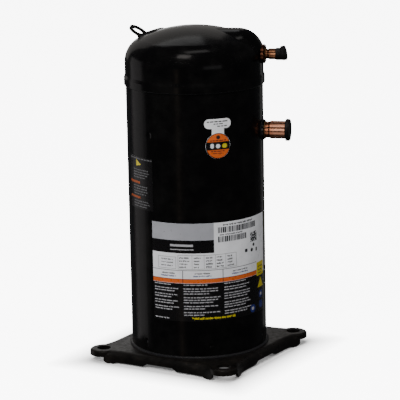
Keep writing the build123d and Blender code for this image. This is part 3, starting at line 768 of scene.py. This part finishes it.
def add_tag():
    rng = random.Random(31)
    low = math.degrees(math.asin(TAG_BAND / TAG_RADIUS))
    ink("tag_ground", [arc(TAG_CENTRE, TAG_Z, TAG_RADIUS)], "ink_black", 1)
    caps = [arc(TAG_CENTRE, TAG_Z, TAG_CAP_R, side + low, side + 180 - low, 30) for side in (0, 180)]
    ink("tag_orange", caps, "ink_orange", 2)
    lines = tag_words(rng, ((-11, 11, TAG_Z + 6.4, 1.3), (-10, 10, TAG_Z - 7.8, 1.1),
                            (-7.5, 7.5, TAG_Z - 10.6, 1.0)))
    ink("tag_lines", lines + [arc(TAG_CENTRE, TAG_Z + 11.4, 2.7)], "ink_dark", 3)
    light = [rect(TAG_CENTRE - 10.8, TAG_CENTRE - 6.2, TAG_Z - 3.2, TAG_Z + 3.4, 2.0),
             arc(TAG_CENTRE - 0.3, TAG_Z - 0.4, 3.0)]
    ink("tag_light_marks", light, "ink_white", 3)
    yellow = rect(TAG_CENTRE + 5.6, TAG_CENTRE + 12.4, TAG_Z - 3.4, TAG_Z + 2.6, 2.6)
    ink("tag_yellow_mark", [yellow], "ink_yellow", 3)
    lines = tag_words(rng, ((-15, 14, 325.6, 1.5), (-6, 7, 322.6, 1.3), (-1, 14, 319.4, 1.3)))
    ink("tag_bar_lines", lines, "ink_dark", 1)


# ---- camera ----
CAMERA_AZIMUTH = math.radians(31.42)
CAMERA_DISTANCE = 3.0          # level distance from the shell's axis; chosen
CAMERA_HEIGHT = 0.888
CAMERA_ROLL = math.radians(-1.13)
CAMERA_LENS, CAMERA_SENSOR = 203.2, 36
AIM_SHIFT, AIM_HEIGHT = 0.0044, 0.2011     # the camera looks this far right of the axis and this high


def add_camera():
    right = Vector((math.cos(CAMERA_AZIMUTH), math.sin(CAMERA_AZIMUTH), 0))
    place = Vector((math.sin(CAMERA_AZIMUTH), -math.cos(CAMERA_AZIMUTH), 0)) * CAMERA_DISTANCE
    place.z = CAMERA_HEIGHT
    target = right * AIM_SHIFT + Vector((0, 0, AIM_HEIGHT))
    data = bpy.data.cameras.new("camera")
    data.sensor_width = CAMERA_SENSOR
    data.lens = CAMERA_LENS
    obj = bpy.data.objects.new("camera", data)
    look = (target - place).to_track_quat("-Z", "Y").to_matrix().to_4x4()
    obj.matrix_world = Matrix.Translation(place) @ look @ Matrix.Rotation(CAMERA_ROLL, 4, "Z")
    bpy.context.scene.collection.objects.link(obj)
    bpy.context.scene.camera = obj


# ---- studio ----
WHITE_SEEN = 11.0              # brightness of the surroundings to the eye
WHITE_LIT = 0.03               # and to everything that they light
FLOOR_REACH = 12.0
# glow of the floor inside the painted shadow under the base, and outside it
FLOOR_SHADOW_GLOW, FLOOR_BRIGHT = 0.12, 8.0
FLOOR_SHADOW_EDGE = (0.112, 0.16)     # painted shadow: the floor's glow goes from dark to bright between these distances
MIDDLE = (0, 0, 0.2)


def add_world():
    """White surroundings for the eye, and dim ones for the reflections."""
    world = bpy.data.worlds.new("studio")
    bpy.context.scene.world = world
    world.use_nodes = True
    tree = world.node_tree
    back = tree.nodes["Background"]
    path = tree.nodes.new("ShaderNodeLightPath")
    mix = tree.nodes.new("ShaderNodeMixShader")
    white = tree.nodes.new("ShaderNodeBackground")
    white.inputs["Color"].default_value = (1, 1, 1, 1)
    white.inputs["Strength"].default_value = WHITE_SEEN
    back.inputs["Color"].default_value = (0.9, 0.93, 1.0, 1)
    back.inputs["Strength"].default_value = WHITE_LIT
    tree.links.new(path.outputs["Is Camera Ray"], mix.inputs["Fac"])
    tree.links.new(back.outputs[0], mix.inputs[1])
    tree.links.new(white.outputs[0], mix.inputs[2])
    tree.links.new(mix.outputs[0], tree.nodes["World Output"].inputs["Surface"])


def floor_paint():
    """White that glows, with a painted soft shadow: a dark square of weaker glow under the base."""
    m = Shader("floor", (0.9, 0.9, 0.9), 0.9)
    m.put("Emission Color", (1, 1, 1, 1))
    split = m.node("SeparateXYZ")
    m.link(m.coords, split.inputs[0])
    far = m.node("Math", operation="SMOOTH_MAX")
    far.inputs[2].default_value = 0.03
    for place, axis in enumerate(("X", "Y")):
        side = m.node("Math", operation="ABSOLUTE")
        m.link(split.outputs[axis], side.inputs[0])
        m.link(side.outputs[0], far.inputs[place])
    # painted contact shadow: the glow is weaker near the middle, under the base
    shade = m.between(far.outputs[0], FLOOR_SHADOW_GLOW, FLOOR_BRIGHT, FLOOR_SHADOW_EDGE)
    m.link(shade, m.bsdf.inputs["Emission Strength"])
    m.bump(m.noise(40, 3, 0.5), 0.0002, 0.1)
    return m.mat


def add_floor():
    mesh = bpy.data.meshes.new("floor")
    corners = [(x * FLOOR_REACH, y * FLOOR_REACH, FLOOR_Z) for x, y in ((-1, -1), (1, -1), (1, 1), (-1, 1))]
    mesh.from_pydata(corners, [], [(0, 1, 2, 3)])
    mesh.materials.append(floor_paint())
    floor = bpy.data.objects.new("floor", mesh)
    floor.visible_glossy = False
    floor.visible_diffuse = False
    bpy.context.scene.collection.objects.link(floor)


def around(azimuth, elevation, distance):
    """A point that many degrees to the right of the camera and above level, round the object's middle."""
    a = CAMERA_AZIMUTH + math.radians(azimuth)
    e = math.radians(elevation)
    level = Vector((math.sin(a), -math.cos(a), 0)) * math.cos(e)
    return (level + Vector((0, 0, math.sin(e)))) * distance + Vector(MIDDLE)


def add_light(name, place, size, radiance, color, soft=False, only=()):
    """A panel of (width, height) and brightness. A soft one lights surfaces but shows in no reflection,
    any other shows in reflections alone, and one with only lights just those nodes."""
    data = bpy.data.lights.new(name, "AREA")
    data.shape = "RECTANGLE"
    data.size, data.size_y = size
    data.energy = radiance * math.pi * size[0] * size[1]
    data.color = color
    obj = bpy.data.objects.new(name, data)
    obj.location = place
    obj.rotation_euler = (Vector(MIDDLE) - Vector(place)).to_track_quat("-Z", "Y").to_euler()
    obj.visible_glossy = not soft
    obj.visible_diffuse = soft
    bpy.context.scene.collection.objects.link(obj)
    if only:
        group = bpy.data.collections.new(name + "_receivers")
        for node in only:
            group.objects.link(NODES[node])
        obj.light_linking.receiver_collection = group


# name, azimuth, elevation, distance, (width, height), brightness, colour
SOFT_LIGHTS = (
    ("soft_front", -28, 38, 3.2, (1.6, 1.6), 14.6, (1, 0.98, 0.97)),
    ("soft_top", 10, 80, 3.0, (2.4, 2.4), 2.2, (1, 1, 1)),
    ("soft_right", 75, 25, 3.0, (1.2, 1.6), 6.0, (1, 0.99, 0.98)),
    ("soft_left", -85, 20, 3.0, (1.2, 1.6), 3.5, (0.97, 0.98, 1)),
)
MIRRORED_LIGHTS = (
    ("glint", -24, 58, 3.0, (0.8, 0.8), 2.3, (1, 0.94, 0.9)),
    ("overhead", 20, 82, 3.0, (1.2, 0.5), 1.2, (1, 0.97, 0.94)),
    ("behind", -164, 24, 3.4, (3.0, 3.0), 0.26, (1, 0.95, 0.9)),
    ("edge_right", 146, -4, 3.0, (0.35, 3.0), 0.25, (1, 0.98, 0.94)),
    ("side_left", -112, -8, 3.0, (1.8, 2.4), 0.34, (1, 0.95, 0.95)),
    ("back_strip", 186, -14, 2.8, (0.6, 2.6), 0.7, (1, 1, 1)),
    ("back_top", 192, 52, 3.0, (1.2, 0.7), 0.6, (1, 1, 1)),
    ("streak", -29, -12, 2.6, (0.22, 1.6), 0.3, (1, 0.8, 0.62)),
)
COPPER = ("suction_tube", "discharge_tube", "discharge_spud", "suction_spud")
COPPER_LIGHTS = (
    ("copper_band", -23, 12, 2.6, (0.9, 0.8), 2.6, (1, 0.95, 0.9)),
    ("copper_floor", -23, -36, 2.6, (1.6, 1.4), 0.5, (1, 0.93, 0.9)),
)
LOW_LIGHTS = (
    ("low_front", 30, 8, 3.0, (1.6, 0.7), 0.3, (1, 1, 1)),
)


def add_lights():
    for rows, soft, only in ((SOFT_LIGHTS, True, ()), (MIRRORED_LIGHTS, False, ()),
                             (COPPER_LIGHTS, False, COPPER), (LOW_LIGHTS, False, ())):
        for name, azimuth, elevation, distance, size, radiance, color in rows:
            add_light(name, around(azimuth, elevation, distance), size, radiance, color, soft, only)


dress_nodes()
add_camera()
add_world()
add_floor()
add_lights()
add_welds()
add_nameplate()
add_side_label()
add_tag()
add_relief_coil()
